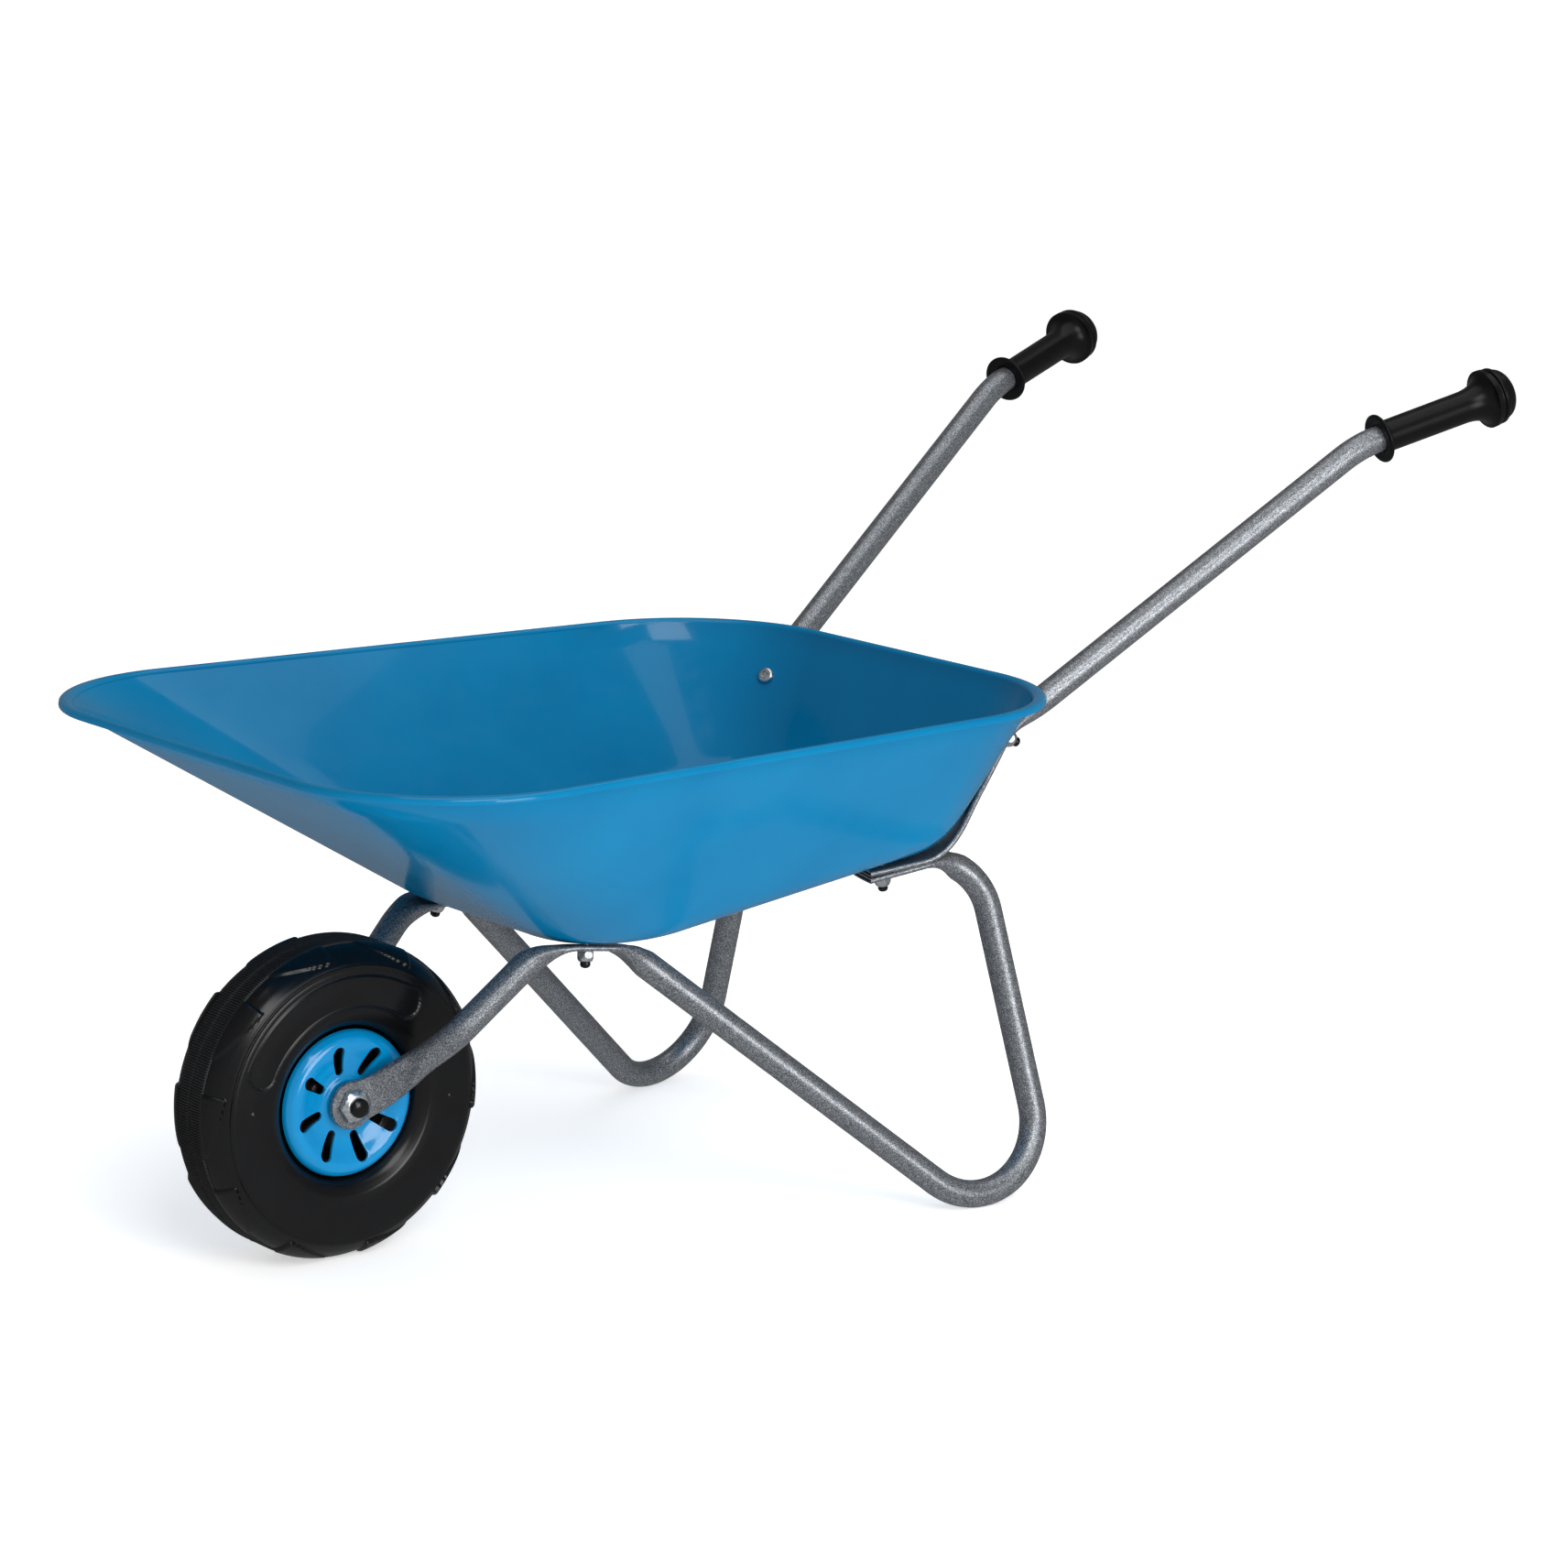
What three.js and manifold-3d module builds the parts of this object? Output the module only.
// Small garden wheelbarrow: a pressed steel tray on two bent steel tubes, two bolted-on
// handle tubes with plastic grips, and one blow-moulded plastic wheel on a through bolt.
//
// Units are millimetres. +X points forward to the wheel, +Y to the user's left and +Z up.
// Everything is laid out with the axle above X = 0, and the group is centred along X last.

import * as THREE from 'three';
import { mergeVertices } from 'three/addons/utils/BufferGeometryUtils.js';
import Module from 'manifold-3d';

const wasm = await Module();
wasm.setup();

// ---------------------------------------------------------------- driving dimensions

const GAP = 0.3; // clearance between pieces that touch on the real object

// tray: outermost edge of the rim, and the sharp meeting line of floor and walls
const SHEET = 1.0;
const RIM = {
  frontX: 82, rearX: -393.4, frontHalf: 197.4, rearHalf: 168.1, frontCorner: 88, rearCorner: 62,
};
const RIM_FRONT_Z = 281.5;
const RIM_REAR_Z = 276.7;
const FLOOR = {
  frontX: -108, rearX: -354, frontHalf: 97, rearHalf: 103, frontCorner: 56, rearCorner: 38,
};
const FLOOR_Z = 159.5; // underside of the floor at the front bolts
const FLOOR_SLOPE = 0.122; // the floor rises towards the handles
const BLEND_FRONT = 22; // how far the bend between floor and wall reaches along each
const BLEND_SIDE = 22;
const BLEND_REAR = 34;
const LIP_WIDTH = 4;
const LIP_HEIGHT = 3.2;
const WALL_CORNERS = { frontCorner: 98, rearCorner: 78 }; // rounder than the rim's, so it widens

// tubes
const TUBE_RADIUS = 7.5;
const TUBE_WALL = 1.0;
const FLAT_HALF_WIDTH = 11;
const FLAT_HALF_THICKNESS = 1.7;
const TUBE_SIDES = 10;
const BEND_STEP = THREE.MathUtils.degToRad(18);

// wheel and axle
const AXLE_Z = 85;
const WHEEL_RADIUS = 85;
const WHEEL_SIDES = 30;
const TREAD_SIDES = 44;
const EYE_Y = 23.4;
const EYE_RADIUS = 13;
const AXLE_RADIUS = 5;

// fasteners
const SCREW_RADIUS = 2.2;
const SCREW_HOLE = 2.6;
const FRONT_BOLT = { x: -118, y: 67.5 };
const REAR_BOLT_X = -304.5;
const WALL_BOLT_Z = 248;
const HEAD_GAP = 1.0; // a flat head over the curved sheet touches only at its edges
const NUT_HEIGHT = 5.2;

// handles: each lies in an upright plane that leaves the middle of the barrow at an angle
const HANDLE_START_Y = 9.4;
const HANDLE_SPLAY = THREE.MathUtils.degToRad(13.87);
const HANDLE_RISE = THREE.MathUtils.degToRad(33.15);
const GRIP_RISE = THREE.MathUtils.degToRad(15.2);
const HANDLE_CORNER = { u: 608.7, z: 394.2 };
const HANDLE_BEND = 78;
const STRIP_STANDOFF = 0.8; // the flat part of a handle bridges the rounded wall
const STRIP_LOW_Z = 214;
const STRIP_HIGH_Z = 262;
const GRIP_START = 12.6; // from the handle's corner to the grip's flange
const GRIP_RADIUS = 9.2;
const GRIP_DEPTH = 76;

// ---------------------------------------------------------------- materials

const finish = (color, roughness, metalness) => ({ color, roughness, metalness });
const BLUE_ENAMEL = finish(0x1b7fb8, 0.22, 0.0);
const SILVER_PAINT = finish(0x7d8286, 0.38, 0.7);
const BLACK_MOULDING = finish(0x17191c, 0.5, 0.0);
const TREAD_RUBBER = finish(0x141517, 0.75, 0.0);
const BLUE_PLASTIC = finish(0x118fce, 0.18, 0.0);
const ZINC = finish(0xb4bcc2, 0.32, 0.95);
const GREY_NYLON = finish(0x8d9296, 0.5, 0.0);

const UP = new THREE.Vector3(0, 0, 1);
const OUT = new THREE.Vector3(0, 1, 0);

const wheelbarrow = new THREE.Group();

function addPiece(name, geometry, look) {
  const piece = new THREE.Mesh(geometry, new THREE.MeshStandardMaterial(look));
  piece.name = name;
  wheelbarrow.add(piece);
  return piece;
}

// The same shape on the other side of the barrow.
function mirrored(geometry) {
  const copy = geometry.clone();
  copy.scale(1, -1, 1);
  const index = copy.index.array;
  for (let k = 0; k < index.length; k += 3) {
    [index[k], index[k + 1]] = [index[k + 1], index[k]];
  }
  return copy;
}

// ---------------------------------------------------------------- solids by boolean

function toSolid(geometry) {
  const bare = geometry.clone();
  bare.deleteAttribute('normal');
  bare.deleteAttribute('uv');
  const merged = mergeVertices(bare, 1e-4);
  return new wasm.Manifold(new wasm.Mesh({
    numProp: 3,
    vertProperties: new Float32Array(merged.attributes.position.array),
    triVerts: new Uint32Array(merged.index.array),
  }));
}

function toGeometry(solid) {
  const mesh = solid.getMesh();
  const geometry = new THREE.BufferGeometry();
  const positions = new Float32Array(mesh.vertProperties);
  geometry.setAttribute('position', new THREE.BufferAttribute(positions, 3));
  geometry.setIndex(new THREE.BufferAttribute(new Uint32Array(mesh.triVerts), 1));
  return geometry;
}

function cut(geometry, cutters) {
  let solid = toSolid(geometry);
  for (const cutter of cutters) {
    solid = solid.subtract(toSolid(cutter));
  }
  return toGeometry(solid);
}

function join(a, b) {
  return toGeometry(toSolid(a).add(toSolid(b)));
}

// A round drill through `point` along `axis`.
function drill(point, axis, radius, length) {
  const geometry = new THREE.CylinderGeometry(radius, radius, length, 12);
  pointAlong(geometry, axis, point);
  return geometry;
}

// Turns a shape built about +Y so that it points along `axis` from `origin`.
function pointAlong(geometry, axis, origin) {
  const turn = new THREE.Quaternion().setFromUnitVectors(new THREE.Vector3(0, 1, 0), axis);
  geometry.applyQuaternion(turn);
  geometry.translate(origin.x, origin.y, origin.z);
  return geometry;
}

// A solid of revolution about +Y from [radius, height] pairs, listed either way round.
function turned(profile, sides) {
  const points = profile.map(([r, h]) => new THREE.Vector2(r, h));
  const geometry = new THREE.LatheGeometry(points, sides);
  if (signedVolume(geometry.attributes.position.array, geometry.index.array) < 0) {
    geometry.index.array.reverse();
  }
  return geometry;
}

// ---------------------------------------------------------------- closed surfaces from rings

// Joins rings of points into a skin. Every ring has the same number of points; `loop` joins the
// last ring to the first, and otherwise the first and last rings are closed by fans.
function skinRings(rings, loop) {
  const count = rings[0].length;
  const positions = rings.flat().flatMap((p) => [p.x, p.y, p.z]);
  const index = [];
  const steps = loop ? rings.length : rings.length - 1;
  for (let j = 0; j < steps; j += 1) {
    const a = j * count;
    const b = ((j + 1) % rings.length) * count;
    for (let i = 0; i < count; i += 1) {
      const n = (i + 1) % count;
      index.push(a + i, a + n, b + n, a + i, b + n, b + i);
    }
  }
  if (!loop) {
    closeRing(positions, index, rings[0], 0, true);
    closeRing(positions, index, rings.at(-1), (rings.length - 1) * count, false);
  }
  const geometry = new THREE.BufferGeometry();
  geometry.setAttribute('position', new THREE.Float32BufferAttribute(positions, 3));
  geometry.setIndex(signedVolume(positions, index) < 0 ? index.reverse() : index);
  return geometry;
}

function closeRing(positions, index, ring, start, reversed) {
  const middle = new THREE.Vector3();
  ring.forEach((p) => middle.addScaledVector(p, 1 / ring.length));
  const hub = positions.length / 3;
  positions.push(middle.x, middle.y, middle.z);
  for (let i = 0; i < ring.length; i += 1) {
    const here = start + i;
    const next = start + ((i + 1) % ring.length);
    index.push(hub, reversed ? next : here, reversed ? here : next);
  }
}

function signedVolume(positions, index) {
  const corner = (k) => new THREE.Vector3().fromArray(positions, 3 * index[k]);
  let total = 0;
  for (let k = 0; k < index.length; k += 3) {
    total += corner(k).dot(corner(k + 1).cross(corner(k + 2))) / 6;
  }
  return total;
}

// ---------------------------------------------------------------- tray

const FLOOR_NORMAL = new THREE.Vector3(FLOOR_SLOPE, 0, 1).normalize();

function floorUnderside(x) {
  return FLOOR_Z + FLOOR_SLOPE * (FRONT_BOLT.x - x);
}

function rimHeight(x) {
  const along = (x - RIM.rearX) / (RIM.frontX - RIM.rearX);
  return THREE.MathUtils.lerp(RIM_REAR_Z, RIM_FRONT_Z, along);
}

// Plan outline with rounded corners, anticlockwise seen from above, with outward normals.
function roundedOutline(size, inset, steps) {
  const { frontX, rearX, frontHalf, rearHalf, frontCorner, rearCorner } = size;
  const corners = [
    new THREE.Vector2(frontX - inset, frontHalf - inset),
    new THREE.Vector2(rearX + inset, rearHalf - inset),
    new THREE.Vector2(rearX + inset, inset - rearHalf),
    new THREE.Vector2(frontX - inset, inset - frontHalf),
  ];
  const outline = [];
  corners.forEach((place, c) => {
    const radius = (place.x > corners[1].x ? frontCorner : rearCorner) - inset;
    const back = corners[(c + 3) % 4].clone().sub(place).normalize();
    const ahead = corners[(c + 1) % 4].clone().sub(place).normalize();
    const halfAngle = Math.acos(back.dot(ahead)) / 2;
    const bisector = back.clone().add(ahead).normalize();
    const centre = place.clone().addScaledVector(bisector, radius / Math.sin(halfAngle));
    const startAngle = new THREE.Vector2(-back.y, back.x).angle();
    const sweep = Math.PI - 2 * halfAngle;
    for (let k = 0; k <= steps; k += 1) {
      const angle = startAngle + (sweep * k) / steps;
      const normal = new THREE.Vector2(Math.cos(angle), Math.sin(angle));
      outline.push({ point: centre.clone().addScaledVector(normal, radius), normal });
    }
  });
  return outline;
}

const CORNER_STEPS = 8;
const BLEND_STEPS = 5;
const FLOOR_LINE = roundedOutline(FLOOR, 0, CORNER_STEPS).map(({ point, normal }) => ({
  point: new THREE.Vector3(point.x, point.y, floorUnderside(point.x)), normal,
}));
const RIM_EDGE = roundedOutline(RIM, 0, CORNER_STEPS).map(({ point }) => (
  new THREE.Vector3(point.x, point.y, rimHeight(point.x) - LIP_HEIGHT)));
const wallOutline = roundedOutline({ ...RIM, ...WALL_CORNERS }, LIP_WIDTH, CORNER_STEPS);
const WALL_TOP = wallOutline.map(({ point }) => (
  new THREE.Vector3(point.x, point.y, rimHeight(point.x) - LIP_HEIGHT)));

// Underside of the curled edge: share of the way from wall to rim, and height above the wall.
const CURL = [[0.1, 1.3], [0.33, 2.1], [0.6, 2.0], [0.75, 1.0], [0.75, -1.6]];

// How far the bend between floor and wall reaches, for a wall facing along `normal` in plan.
function blendReach(normal) {
  const end = normal.x > 0 ? BLEND_FRONT : BLEND_REAR;
  return THREE.MathUtils.lerp(BLEND_SIDE, end, normal.x * normal.x);
}

// Rings round the underside, from the edge of the flat floor up to the tip of the curled edge.
function undersideRings() {
  const rings = Array.from({ length: BLEND_STEPS + 2 + CURL.length }, () => []);
  FLOOR_LINE.forEach(({ point: foot, normal }, i) => {
    const top = WALL_TOP[i];
    const reach = blendReach(normal);
    const inward = new THREE.Vector3(-normal.x, -normal.y, FLOOR_SLOPE * normal.x);
    const upward = top.clone().sub(foot).normalize();
    for (let k = 0; k <= BLEND_STEPS; k += 1) {
      const t = k / BLEND_STEPS;
      const p = foot.clone();
      p.addScaledVector(inward, reach * (1 - t) * (1 - t));
      p.addScaledVector(upward, reach * t * t);
      rings[k].push(p);
    }
    rings[BLEND_STEPS + 1].push(top);
    CURL.forEach(([share, up], k) => {
      const p = top.clone().lerp(RIM_EDGE[i], share);
      p.z += up;
      rings[BLEND_STEPS + 2 + k].push(p);
    });
  });
  return rings;
}

// The other face of the sheet: every point moved one thickness along the surface normal.
function offsetRings(rings, thickness) {
  const count = rings[0].length;
  return rings.map((ring, j) => ring.map((p, i) => {
    if (j === 0) {
      return p.clone().addScaledVector(FLOOR_NORMAL, thickness);
    }
    const rising = rings[Math.min(j + 1, rings.length - 1)][i].clone().sub(rings[j - 1][i]);
    const around = ring[(i + 1) % count].clone().sub(ring[(i + count - 1) % count]);
    return p.clone().addScaledVector(rising.cross(around).normalize(), thickness);
  }));
}

function makeTray() {
  const under = undersideRings();
  const upper = offsetRings(under, SHEET);
  return skinRings([...upper, ...under.reverse()], false);
}

const blankTray = new THREE.Mesh(makeTray());

// Where a line from outside first meets the tray, and which way the sheet faces there.
function restOnTray(from, direction) {
  const [hit] = new THREE.Raycaster(from, direction).intersectObject(blankTray);
  return { point: hit.point, outward: hit.face.normal };
}

// ---------------------------------------------------------------- bent tubes

// A route of straight runs joined by round bends.
class Route {
  constructor(corners, bends) {
    this.parts = [];
    this.length = 0;
    let from = corners[0];
    bends.forEach((radius, b) => {
      const corner = corners[b + 1];
      const arriving = corner.clone().sub(corners[b]).normalize();
      const leaving = corners[b + 2].clone().sub(corner).normalize();
      const turn = arriving.angleTo(leaving);
      const reach = radius * Math.tan(turn / 2);
      const start = corner.clone().addScaledVector(arriving, -reach);
      this.addRun(from, start);
      this.addBend(start, arriving, leaving, radius, turn);
      from = corner.clone().addScaledVector(leaving, reach);
    });
    this.addRun(from, corners.at(-1));
  }

  addRun(from, to) {
    const tangent = to.clone().sub(from);
    const length = tangent.length();
    this.parts.push({ start: this.length, length, from, tangent: tangent.normalize(), turn: 0 });
    this.length += length;
  }

  addBend(from, tangent, leaving, radius, turn) {
    const inner = leaving.clone().addScaledVector(tangent, -leaving.dot(tangent)).normalize();
    const length = radius * turn;
    this.parts.push({ start: this.length, length, from, tangent, inner, radius, turn });
    this.length += length;
  }

  at(distance) {
    const part = this.parts.findLast((p) => p.start <= distance + 1e-6) ?? this.parts[0];
    const along = distance - part.start;
    if (part.turn === 0) {
      const point = part.from.clone().addScaledVector(part.tangent, along);
      return { point, tangent: part.tangent.clone() };
    }
    const angle = along / part.radius;
    const point = part.from.clone();
    point.addScaledVector(part.tangent, part.radius * Math.sin(angle));
    point.addScaledVector(part.inner, part.radius * (1 - Math.cos(angle)));
    const tangent = part.tangent.clone().multiplyScalar(Math.cos(angle));
    tangent.addScaledVector(part.inner, Math.sin(angle));
    return { point, tangent };
  }

  // Distances that need a section: the ends of every run, and steps through every bend.
  stations() {
    return this.parts.flatMap((part) => {
      const steps = Math.max(1, Math.ceil(part.turn / BEND_STEP));
      return Array.from({ length: steps + 1 }, (_, k) => part.start + (part.length * k) / steps);
    });
  }

  nearest(target) {
    let best = 0;
    for (let s = 0; s <= this.length; s += 0.25) {
      const closer = this.at(s).point.distanceTo(target) < this.at(best).point.distanceTo(target);
      best = closer ? s : best;
    }
    return best;
  }
}

// How a tube is pressed along its route, as marks at distances: half width, half thickness,
// and the direction the flat face looks in.
const ROUND = { width: TUBE_RADIUS, thickness: TUBE_RADIUS };
const FLAT = { width: FLAT_HALF_WIDTH, thickness: FLAT_HALF_THICKNESS };

function pressedSection(marks, distance) {
  const after = marks.findIndex((m) => m.at >= distance);
  if (after <= 0) {
    return after === 0 ? marks[0] : marks.at(-1);
  }
  const a = marks[after - 1];
  const b = marks[after];
  const t = THREE.MathUtils.smoothstep(distance, a.at, b.at);
  return {
    width: THREE.MathUtils.lerp(a.width, b.width, t),
    thickness: THREE.MathUtils.lerp(a.thickness, b.thickness, t),
    face: a.face.clone().lerp(b.face, t).normalize(),
  };
}

// A circle where width equals thickness, and a flat bar with round edges elsewhere.
function sectionRing(centre, across, through, halfWidth, halfThickness) {
  return Array.from({ length: TUBE_SIDES }, (_, k) => {
    const angle = (2 * Math.PI * k) / TUBE_SIDES;
    const edge = THREE.MathUtils.clamp(2 * Math.cos(angle), -1, 1);
    const u = (halfWidth - halfThickness) * edge + halfThickness * Math.cos(angle);
    const v = halfThickness * Math.sin(angle);
    return centre.clone().addScaledVector(across, u).addScaledVector(through, v);
  });
}

function makeTube(route, marks, holes) {
  const outer = [];
  const bore = [];
  const places = [...route.stations(), ...marks.map((m) => m.at)];
  const ordered = places.sort((a, b) => a - b).filter((s, k) => k === 0 || s - places[k - 1] > 0.4);
  for (const s of ordered) {
    const { point, tangent } = route.at(s);
    const { width, thickness, face } = pressedSection(marks, s);
    const across = face.clone().cross(tangent).normalize();
    const through = tangent.clone().cross(across).normalize();
    const wall = Math.min(TUBE_WALL, thickness - GAP);
    outer.push(sectionRing(point, across, through, width, thickness));
    bore.push(sectionRing(point, across, through, width - wall, thickness - wall));
  }
  return cut(skinRings([...outer, ...bore.reverse()], true), holes);
}

// Distances and half widths that round off the flat end of a tube like a semicircle.
function roundedEnd(marks, tip, inwards, radius, face, thickness) {
  for (const share of [0.12, 0.3, 0.55, 1]) {
    const width = radius * Math.sqrt(1 - (1 - share) * (1 - share));
    marks.push({ at: tip + inwards * radius * share, width, thickness, face });
  }
}

// ---------------------------------------------------------------- frame tubes (fork, leg, foot)

const EYE = new THREE.Vector3(0, EYE_Y, AXLE_Z);
const EYE_TILT = new THREE.Vector3(0.972, 0, -0.235); // the flat eye points slightly down
const FRONT_PAD_DROP = GAP + FLAT_HALF_THICKNESS;
const REAR_PAD_DROP = 2 * GAP + 3 * FLAT_HALF_THICKNESS;

function underFloor(x, y, drop) {
  return new THREE.Vector3(x, y, floorUnderside(x) - drop);
}

// The tray's front is already curving up at the front bolts, so their pads follow it.
const frontRest = restOnTray(new THREE.Vector3(FRONT_BOLT.x, FRONT_BOLT.y, 0), UP);
const frontPadCentre = frontRest.point.clone().addScaledVector(frontRest.outward, FRONT_PAD_DROP);

function onFrontPad(dx, dy) {
  const { x, y, z } = frontRest.outward;
  return frontPadCentre.clone().add(new THREE.Vector3(dx, dy, -(dx * x + dy * y) / z));
}

const REAR_BOLT = { x: REAR_BOLT_X, y: HANDLE_START_Y - Math.tan(HANDLE_SPLAY) * REAR_BOLT_X };
const frameCorners = [
  EYE.clone().addScaledVector(EYE_TILT, EYE_RADIUS),
  new THREE.Vector3(-15.5, EYE_Y, 88.9),
  new THREE.Vector3(-46, 50.4, 119.6),
  onFrontPad(23.5, -5.3),
  onFrontPad(-20.7, 5.3),
  new THREE.Vector3(-369.4, 173.2, -47.08),
  underFloor(-361, 97, REAR_PAD_DROP),
  underFloor(REAR_BOLT.x + 11, REAR_BOLT.y - 2.6, REAR_PAD_DROP),
];
const frameRoute = new Route(frameCorners, [16, 45, 40, 28, 40.8, 34]);

function frameMarks() {
  const route = frameRoute;
  const frontPad = route.nearest(frontPadCentre);
  const padFace = frontRest.outward.clone().negate();
  const rearPad = route.nearest(underFloor(REAR_BOLT.x, REAR_BOLT.y, REAR_PAD_DROP));
  const foot = route.parts[9];
  const legTop = route.parts[11];
  const loopNormal = new THREE.Vector3(0.136, 0.941, 0.309);
  const backwards = frameCorners[6].clone().sub(frameCorners[7]).normalize();
  const marks = [];
  roundedEnd(marks, 0, 1, EYE_RADIUS, OUT, FLAT_HALF_THICKNESS);
  marks.push({ ...FLAT, at: 2 * EYE_RADIUS - 2, face: OUT });
  marks.push({ ...ROUND, at: 68, face: new THREE.Vector3(0, 0.7, 0.7) });
  marks.push({ ...ROUND, at: frontPad - 34, face: padFace });
  marks.push({ ...FLAT, at: frontPad - 11, face: padFace });
  marks.push({ ...FLAT, at: frontPad + 11, face: padFace });
  marks.push({ ...ROUND, at: frontPad + 36, face: padFace });
  marks.push({ ...ROUND, at: foot.start, face: loopNormal });
  marks.push({ ...ROUND, at: foot.start + foot.length, face: loopNormal });
  marks.push({ ...ROUND, at: legTop.start, face: backwards });
  marks.push({ ...ROUND, at: rearPad - 48, face: UP });
  marks.push({ ...FLAT, at: rearPad - 24, face: FLOOR_NORMAL });
  marks.push({ ...FLAT, at: route.length, face: FLOOR_NORMAL });
  return marks;
}

// ---------------------------------------------------------------- handles

// A point of the left handle's upright plane, `u` along it from the middle of the barrow.
function handlePoint(u, z) {
  return new THREE.Vector3(
    -u * Math.cos(HANDLE_SPLAY), HANDLE_START_Y + u * Math.sin(HANDLE_SPLAY), z);
}

// Where the left handle's plane meets the outside of the rear wall at a height.
function rearWallRest(z) {
  const forward = new THREE.Vector3(Math.cos(HANDLE_SPLAY), -Math.sin(HANDLE_SPLAY), 0);
  return restOnTray(handlePoint(HANDLE_CORNER.u, z), forward);
}

function inPlane(p) {
  return new THREE.Vector2(-p.x / Math.cos(HANDLE_SPLAY), p.z);
}

function meet(a, alongA, b, alongB) {
  const share = b.clone().sub(a).cross(alongB) / alongA.cross(alongB);
  return a.clone().addScaledVector(alongA, share);
}

const wallLow = rearWallRest(STRIP_LOW_Z);
const wallHigh = rearWallRest(STRIP_HIGH_Z);
const stripSeat = ({ point, outward }) => (
  inPlane(point.clone().addScaledVector(outward, STRIP_STANDOFF + FLAT_HALF_THICKNESS)));
const stripLine = stripSeat(wallLow);
const wallAlong = stripSeat(wallHigh).sub(stripLine).normalize();
const floorStart = inPlane(underFloor(REAR_BOLT.x, 0, FRONT_PAD_DROP));
const floorAlong = new THREE.Vector2(1, FLOOR_SLOPE * Math.cos(HANDLE_SPLAY));
const handleCorner = new THREE.Vector2(HANDLE_CORNER.u, HANDLE_CORNER.z);
const handleAlong = new THREE.Vector2(Math.cos(HANDLE_RISE), Math.sin(HANDLE_RISE));
const gripAlong = new THREE.Vector2(Math.cos(GRIP_RISE), Math.sin(GRIP_RISE));
const stripTip = floorStart.clone().addScaledVector(floorAlong, -11);
const stripCorner = meet(stripLine, wallAlong, floorStart, floorAlong);
const wallLeave = meet(stripLine, wallAlong, handleCorner, handleAlong);
const tubeEnd = handleCorner.clone().addScaledVector(gripAlong, GRIP_START + GRIP_DEPTH);
const handlePath = [stripTip, stripCorner, wallLeave, handleCorner, tubeEnd];
const handleRoute = new Route(handlePath.map((p) => handlePoint(p.x, p.y)), [36, 30, HANDLE_BEND]);

const wallBolt = rearWallRest(WALL_BOLT_Z);

function handleMarks() {
  const lowFace = wallLow.outward.clone().negate();
  const highFace = wallBolt.outward.clone().negate();
  const leave = handleRoute.parts[3];
  return [
    { ...FLAT, at: 0, face: FLOOR_NORMAL },
    { ...FLAT, at: handleRoute.parts[1].start, face: FLOOR_NORMAL },
    { ...FLAT, at: handleRoute.parts[2].start, face: lowFace },
    { ...FLAT, at: handleRoute.nearest(wallBolt.point), face: highFace },
    { ...FLAT, at: leave.start + 4, face: highFace },
    { ...ROUND, at: leave.start + leave.length + 24, face: FLOOR_NORMAL },
    { ...ROUND, at: handleRoute.length, face: FLOOR_NORMAL },
  ];
}

// Grip: thin flange, plain barrel, flare and a knob with three stepped rings, on a blind bore.
function makeGrip() {
  const bore = TUBE_RADIUS + GAP;
  return turned([
    [bore, 0.6], [12.6, 0], [14, 0.5], [14, 1.9], [12.6, 2.4], [9.9, 2.9], [GRIP_RADIUS, 4.5],
    [GRIP_RADIUS, 58], [10.4, 62], [13.6, 67.5], [16, 70], [16.9, 72], [16.9, 74.4], [15.4, 75.2],
    [15.4, 76.4], [16.4, 77.2], [16.4, 79], [15.2, 80], [14.6, 83], [11, 86.6], [6, 88.6],
    [0, 89.2], [0, GRIP_DEPTH + GAP], [bore, GRIP_DEPTH + GAP], [bore, 0.6],
  ], 16);
}

// ---------------------------------------------------------------- wheel

// Half of the moulded wheel's outline from the bore to the tread seat, [radius, sideways].
const SIDE = [
  [9, 17], [13, 17], [14.5, 9], [34, 8], [39.8, 17.2], [47, 22.2], [54, 24.8], [61, 25],
  [68, 23.6], [75, 19.2], [81.2, 11.4],
];
const CAVITY = [[11.5, 6], [34, 5], [42.5, 16.4], [54, 22], [62, 22], [70, 19], [78.4, 8]];

function makeWheelBody() {
  const flip = ([r, y]) => [r, -y];
  const outside = [...SIDE, ...SIDE.toReversed().map(flip)];
  const inside = [...CAVITY.map(flip), ...CAVITY.toReversed()];
  return turned([...outside, [9, -2], [11.5, -2], ...inside, [11.5, 2], [9, 2], SIDE[0]], WHEEL_SIDES);
}

// The band of many flats, turned so that the wheel stands on one of them.
function makeTreadBand() {
  const outer = WHEEL_RADIUS / Math.cos(Math.PI / TREAD_SIDES);
  const half = [[81.9, 11], [84.2, 11], [outer, 10.2], [outer, 0.8], [84.2, 0.5]];
  const other = half.map(([r, y]) => [r, -y]).reverse();
  return turned([...half, ...other, half[0]], TREAD_SIDES).rotateY(Math.PI / TREAD_SIDES);
}

// Vent slot in a hub cap: straight, with round ends, and wider at its outer end.
function slotCutter(angle) {
  const outline = [];
  for (const { at, half, turn } of [{ at: 29, half: 3.1, turn: 0 }, { at: 18.4, half: 2.2, turn: Math.PI }]) {
    for (let k = 0; k <= 3; k += 1) {
      const around = turn + (k / 3 - 0.5) * Math.PI;
      outline.push(new THREE.Vector2(at + half * Math.cos(around), half * Math.sin(around)));
    }
  }
  const geometry = new THREE.ExtrudeGeometry(new THREE.Shape(outline), {
    depth: 20, bevelEnabled: false,
  });
  geometry.rotateZ(angle);
  geometry.rotateX(Math.PI / 2);
  geometry.translate(0, 30, 0);
  return geometry;
}

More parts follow.
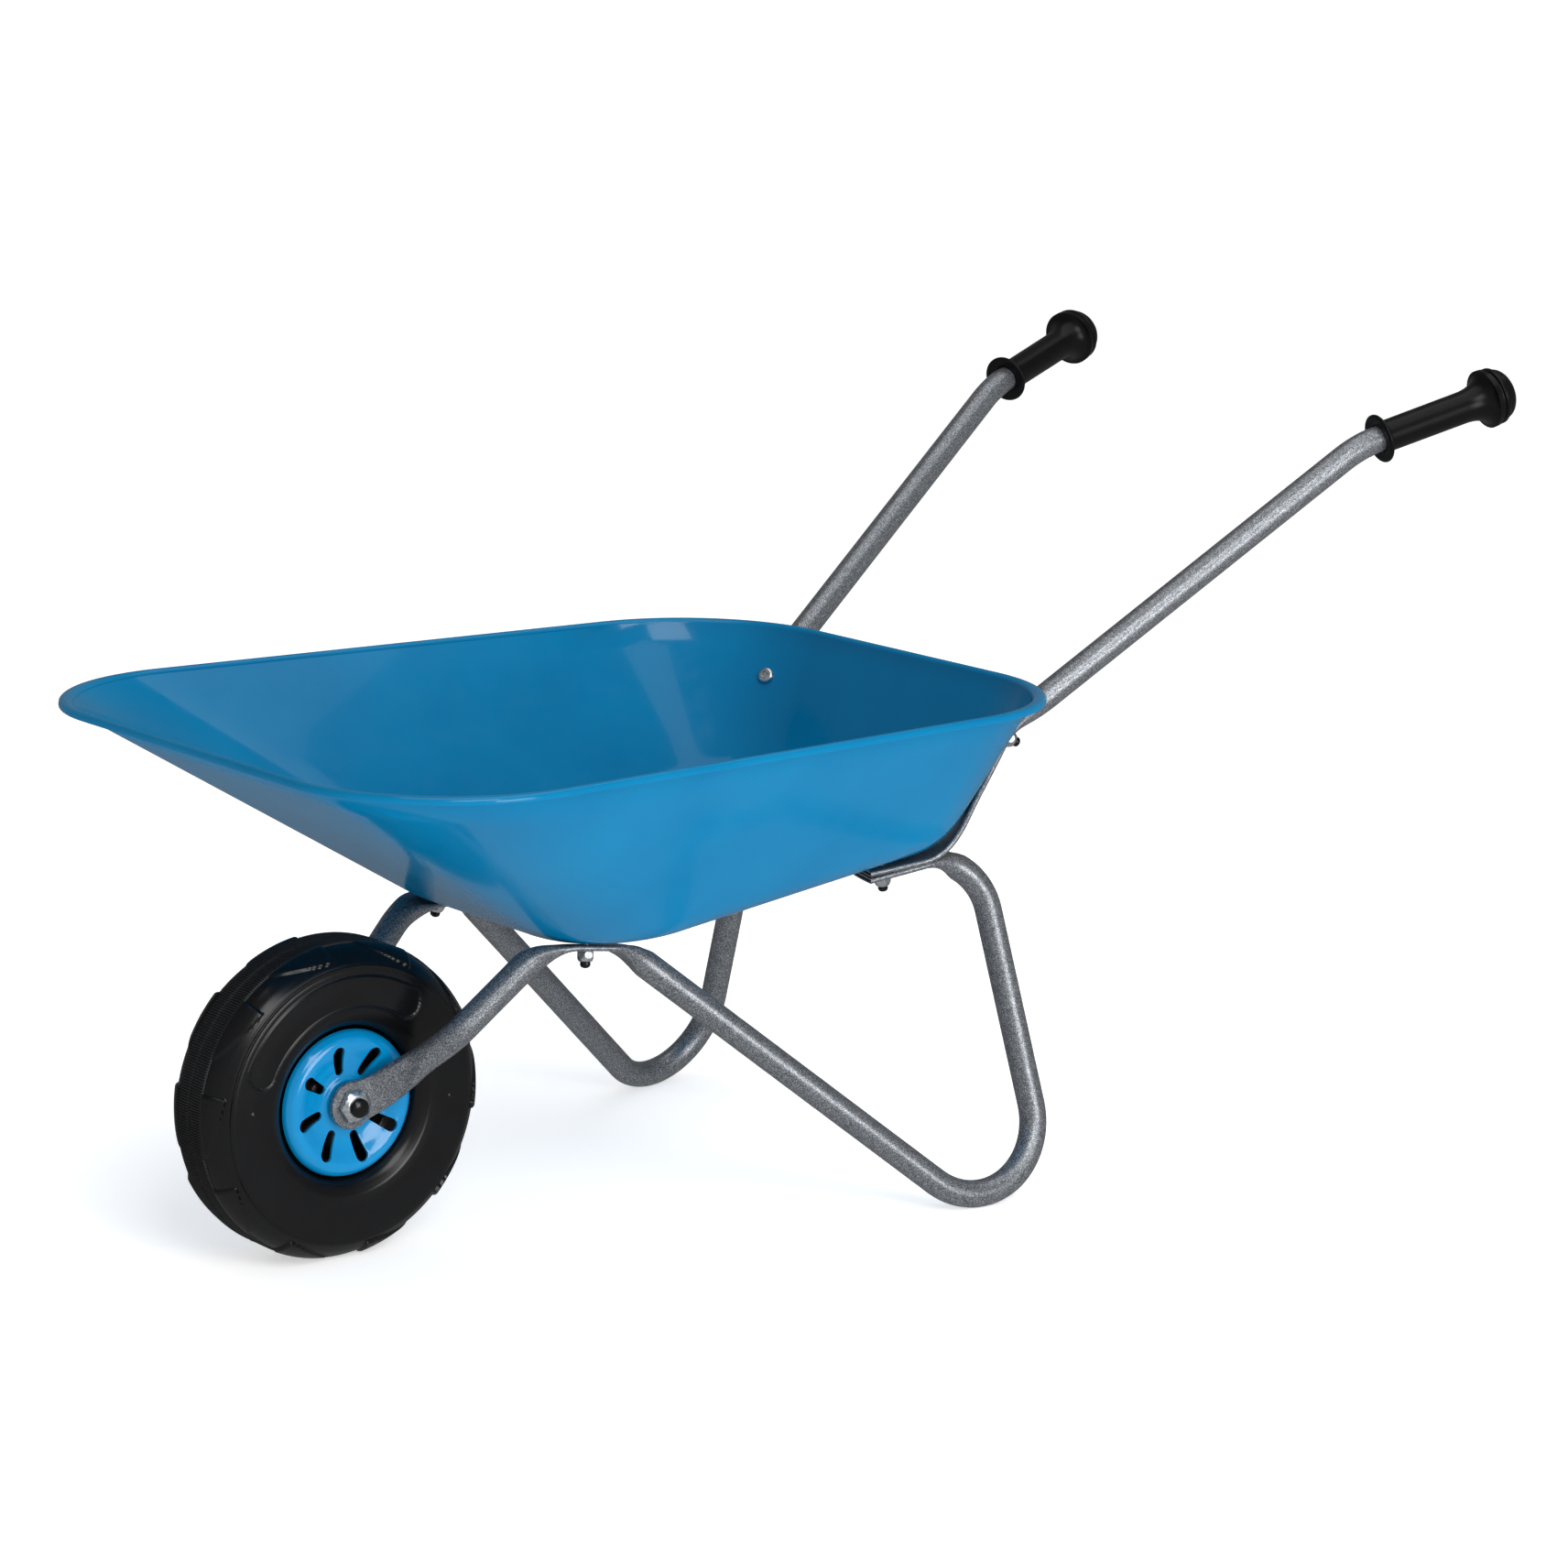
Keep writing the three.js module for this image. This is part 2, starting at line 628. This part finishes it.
// Hub cap: a dished disc with a rounded, raised border.
function makeHubCap() {
  const shell = turned([
    [9.3, 19.4], [13, 19.4], [15, 18.2], [18, 18.2], [24, 19.6], [29, 22], [32.5, 23.4],
    [36, 22.4], [38.6, 19.8], [39.3, 17.9], [37.9, 17.5], [37, 19.2], [35.2, 21], [32.4, 21.9],
    [29.6, 20.7], [24.4, 18.2], [18.2, 16.7], [14.4, 16.7], [12.6, 17.9], [9.3, 17.9], [9.3, 19.4],
  ].reverse(), 24);
  const slots = Array.from({ length: 8 }, (_, k) => slotCutter((k * Math.PI) / 4 + 0.555));
  return cut(shell, slots);
}

// Flanged bush that runs on the axle bolt.
function makeBush() {
  const bore = AXLE_RADIUS + GAP;
  return turned([
    [bore, 3], [8.7, 3], [8.7, 19.8], [11, 19.8], [11, 21.2], [bore, 21.2], [bore, 3],
  ], 12);
}

// ---------------------------------------------------------------- fasteners

// Pan-head machine screw through a stack, from the inner face of the tray outwards.
function makeScrew(stack) {
  return turned([
    [0, -3.6], [2.6, -3.5], [4.2, -2.8], [4.75, -1.8], [4.75, -HEAD_GAP], [SCREW_RADIUS, -HEAD_GAP],
    [SCREW_RADIUS, stack + NUT_HEIGHT], [0, stack + NUT_HEIGHT],
  ], 10);
}

// Hexagon nut that tapers to a cone.
function makeNut(stack, corner, hole, height) {
  const base = stack + GAP;
  return turned([
    [hole, base], [corner, base], [corner, base + 0.55 * height], [0.74 * corner, base + height],
    [hole, base + height], [hole, base],
  ], 6);
}

// Domed plastic cap over the end of the thread.
function makeThreadCap(base, radius, height) {
  return turned([
    [0, base], [radius, base], [radius, base + 0.45 * height], [0.8 * radius, base + 0.78 * height],
    [0.4 * radius, base + 0.96 * height], [0, base + height],
  ], 8);
}

function addTrayBolt(name, seat, axis, stack) {
  const place = (geometry) => pointAlong(geometry, axis, seat);
  const capBase = stack + NUT_HEIGHT + 2 * GAP;
  const left = {
    screw: place(makeScrew(stack)),
    nut: place(makeNut(stack, 4.6, 3, NUT_HEIGHT)),
    cap: place(makeThreadCap(capBase, 2.75, 3.2)),
  };
  const looks = { screw: ZINC, nut: ZINC, cap: BLACK_MOULDING };
  for (const [kind, geometry] of Object.entries(left)) {
    addPiece(`${name}_${kind}_left`, geometry, looks[kind]);
    addPiece(`${name}_${kind}_right`, mirrored(geometry), looks[kind]);
  }
}

// ---------------------------------------------------------------- assembly

const downwards = FLOOR_NORMAL.clone().negate();
const frontSeat = frontRest.point.clone().addScaledVector(frontRest.outward, -SHEET);
const rearSeat = underFloor(REAR_BOLT.x, REAR_BOLT.y, 0).addScaledVector(downwards, -SHEET);
const wallSeat = wallBolt.point.clone().addScaledVector(wallBolt.outward, -SHEET);
const onePad = SHEET + 2 * GAP + 2 * FLAT_HALF_THICKNESS;
const wallStack = onePad + STRIP_STANDOFF;
const twoPads = onePad + GAP + 2 * FLAT_HALF_THICKNESS;

const holeAt = (seat, axis) => drill(seat, axis, SCREW_HOLE, 40);
const leftHoles = [
  holeAt(frontSeat, frontRest.outward), holeAt(rearSeat, downwards),
  holeAt(wallSeat, wallBolt.outward),
];
const eyeHole = drill(EYE, OUT, AXLE_RADIUS + GAP, 20);

const trayHoles = [...leftHoles, ...leftHoles.map(mirrored)];
addPiece('tray', cut(blankTray.geometry, trayHoles), BLUE_ENAMEL);

const frameTube = makeTube(frameRoute, frameMarks(), [eyeHole, leftHoles[0], leftHoles[1]]);
addPiece('frame_tube_left', frameTube, SILVER_PAINT);
addPiece('frame_tube_right', mirrored(frameTube), SILVER_PAINT);

const handleTube = makeTube(handleRoute, handleMarks(), [leftHoles[1], leftHoles[2]]);
addPiece('handle_tube_left', handleTube, SILVER_PAINT);
addPiece('handle_tube_right', mirrored(handleTube), SILVER_PAINT);

const gripSeat = handleCorner.clone().addScaledVector(gripAlong, GRIP_START);
const gripAxis = handlePoint(gripAlong.x, gripAlong.y).sub(handlePoint(0, 0)).normalize();
const grip = pointAlong(makeGrip(), gripAxis, handlePoint(gripSeat.x, gripSeat.y));
addPiece('grip_left', grip, BLACK_MOULDING);
addPiece('grip_right', mirrored(grip), BLACK_MOULDING);

const axlePoint = new THREE.Vector3(0, 0, AXLE_Z);
const onAxle = (geometry) => pointAlong(geometry, OUT, axlePoint);
addPiece('wheel_body', onAxle(makeWheelBody()), BLACK_MOULDING);
addPiece('tread_band', onAxle(makeTreadBand()), TREAD_RUBBER);
const hubCap = onAxle(makeHubCap());
addPiece('hub_cap_left', hubCap, BLUE_PLASTIC);
addPiece('hub_cap_right', mirrored(hubCap), BLUE_PLASTIC);
const bush = onAxle(makeBush());
addPiece('wheel_bush_left', bush, GREY_NYLON);
addPiece('wheel_bush_right', mirrored(bush), GREY_NYLON);

const eyeFace = EYE_Y + FLAT_HALF_THICKNESS;
const axleNutHeight = 4.4;
const axleHead = turned([
  [0, -eyeFace - 6.2], [8.4, -eyeFace - 6.2], [9.4, -eyeFace - 5.5], [9.4, -eyeFace - GAP],
  [0, -eyeFace - GAP],
], 6);
const axleShank = turned([
  [0, -eyeFace - 1], [AXLE_RADIUS, -eyeFace - 1], [AXLE_RADIUS, eyeFace + axleNutHeight],
  [0, eyeFace + axleNutHeight],
], 12);
addPiece('axle_bolt', onAxle(join(axleHead, axleShank)), ZINC);
addPiece('axle_nut', onAxle(makeNut(eyeFace, 9.4, 6.1, axleNutHeight)), ZINC);
addPiece('axle_cap', onAxle(makeThreadCap(eyeFace + axleNutHeight + 2 * GAP, 5.3, 3.2)),
  BLACK_MOULDING);

addTrayBolt('front', frontSeat, frontRest.outward, onePad);
addTrayBolt('rear', rearSeat, downwards, twoPads);
addTrayBolt('wall', wallSeat, wallBolt.outward, wallStack);

// The origin is under the middle of the whole barrow.
const box = new THREE.Box3().setFromObject(wheelbarrow);
wheelbarrow.position.x = -(box.min.x + box.max.x) / 2;

export default wheelbarrow;
